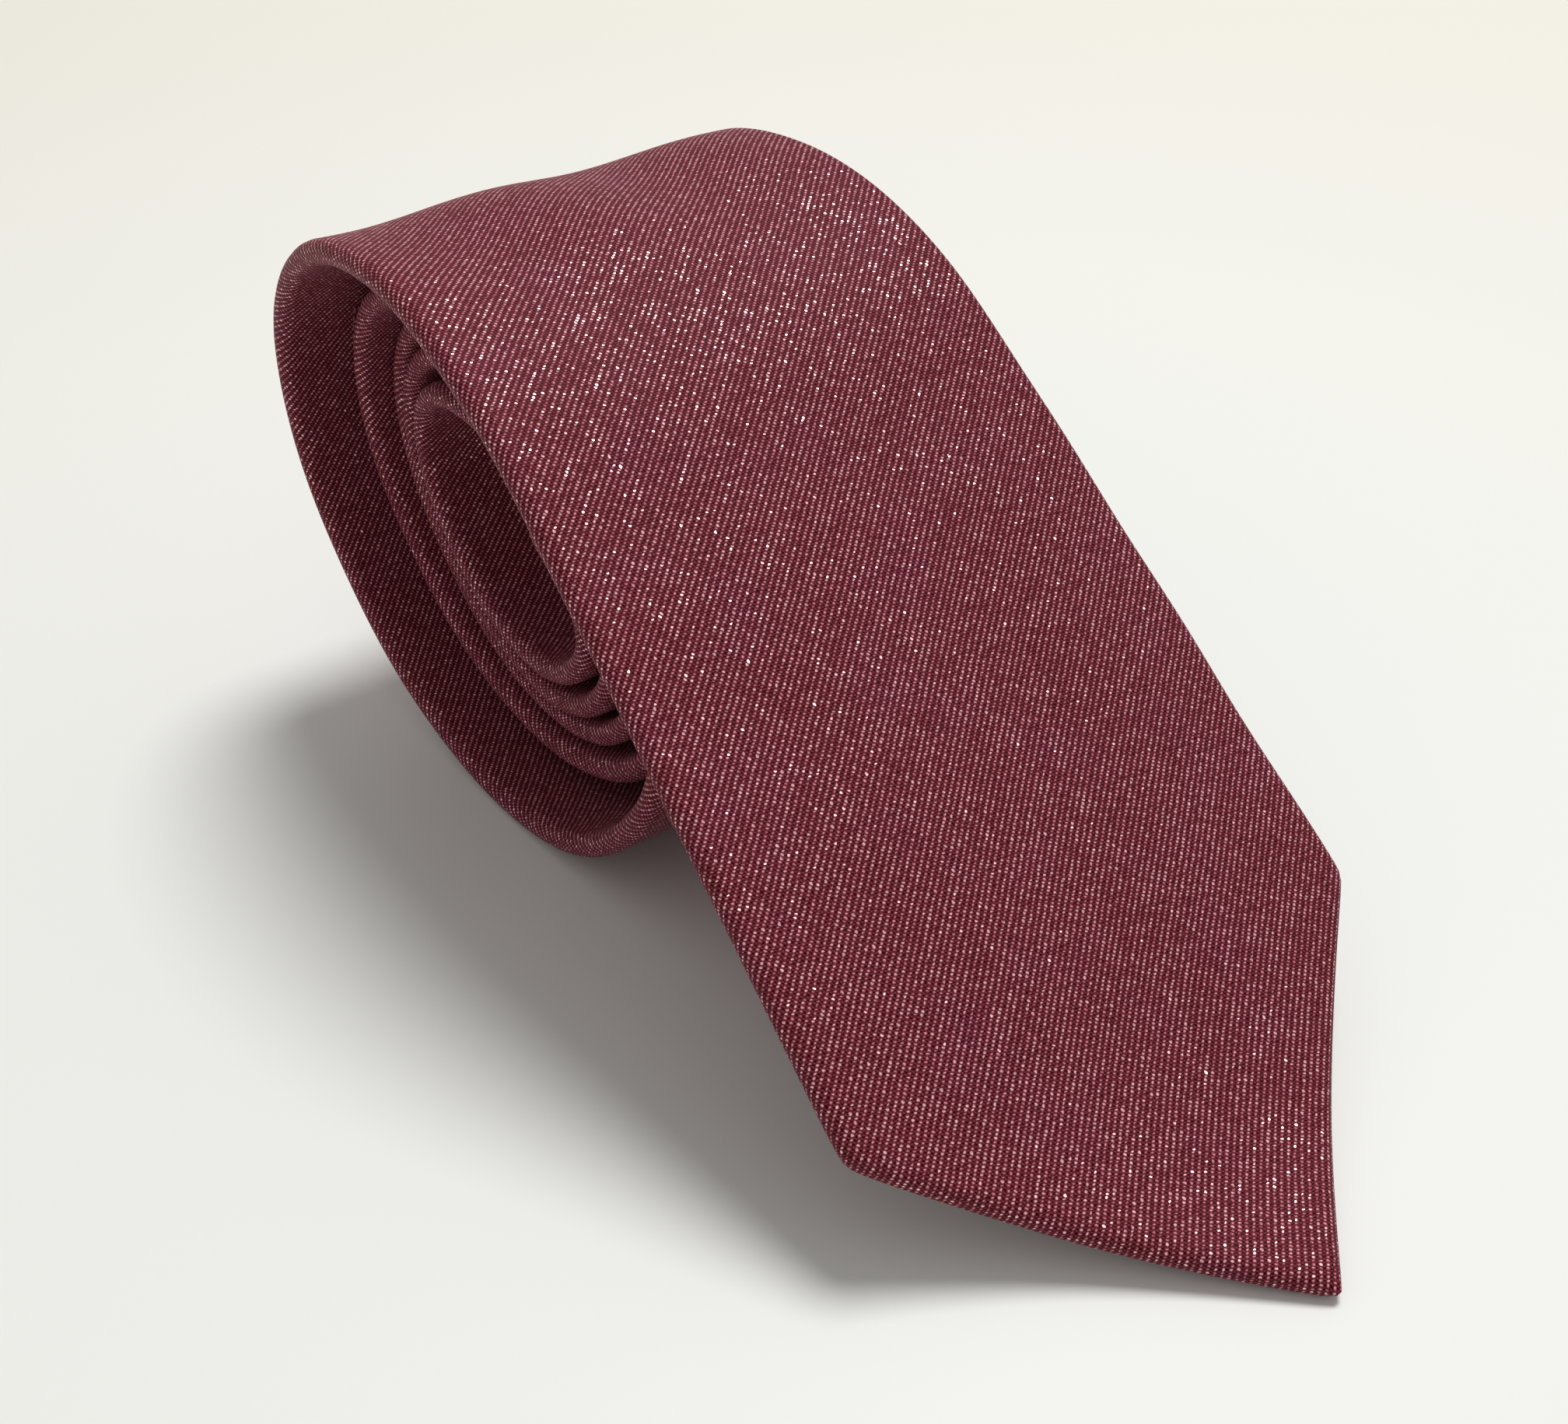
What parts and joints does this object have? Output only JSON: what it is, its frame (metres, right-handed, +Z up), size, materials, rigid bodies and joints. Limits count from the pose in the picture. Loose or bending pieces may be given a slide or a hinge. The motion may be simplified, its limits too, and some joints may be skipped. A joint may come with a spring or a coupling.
{
  "type": "necktie",
  "caption": "Necktie rolled from its narrow end and lying on its side: folded bias-cut shell over an interlining, lined points, keeper loop; the free blade lifts and curls.",
  "frame": {"origin": "middle of the tie's length and width as it lies, at table height", "axes": "+Z up; the roll's axis lies along X; the blade's point lies towards -Y and the roll towards +Y"},
  "size_m": [0.085, 0.1924, 0.0856],
  "materials": {
    "shell": "bias-cut twill cloth, maroon with a fine metallic fleck",
    "loop": "the same twill cloth, folded to a narrow strap",
    "interlining": "brushed wool interlining, undyed",
    "tipping": "plain satin lining, dark maroon",
    "thread": "polyester sewing thread",
    "label": "woven satin ribbon, blank"
  },
  "bodies": {
    "roll": {"blade_shell_rolled": "shell", "neck_shell": "shell", "tail_shell": "shell", "blade_neck_seam": "shell", "neck_tail_seam": "shell", "keeper_loop": "loop", "interlining_rolled": "interlining", "tail_tipping": "tipping", "tail_tipping_stitches": "thread", "slip_stitch_rolled": "thread", "tail_bar_tack": "thread", "keeper_loop_tacks": "thread", "maker_label_stitches": "thread", "maker_label": "label", "care_label": "label"},
    "flap": {"blade_shell_flap": "shell", "interlining_flap": "interlining", "blade_tipping_flap": "tipping", "slip_stitch_flap": "thread", "blade_bar_tack": "thread"},
    "point": {"blade_shell_point": "shell", "interlining_point": "interlining", "blade_tipping_point": "tipping", "blade_tipping_stitches": "thread"}
  },
  "joints": [
    {"name": "blade_lift", "type": "hinge", "parent": "roll", "child": "flap", "pos_m": [0, 0.01119, 0.06954], "axis": [-1, 0, 0], "range_deg": [0, 75]},
    {"name": "blade_curl", "type": "hinge", "parent": "flap", "child": "point", "pos_m": [0, -0.04152, 0.02982], "axis": [-1, 0, 0], "range_deg": [0, 60]}
  ]
}
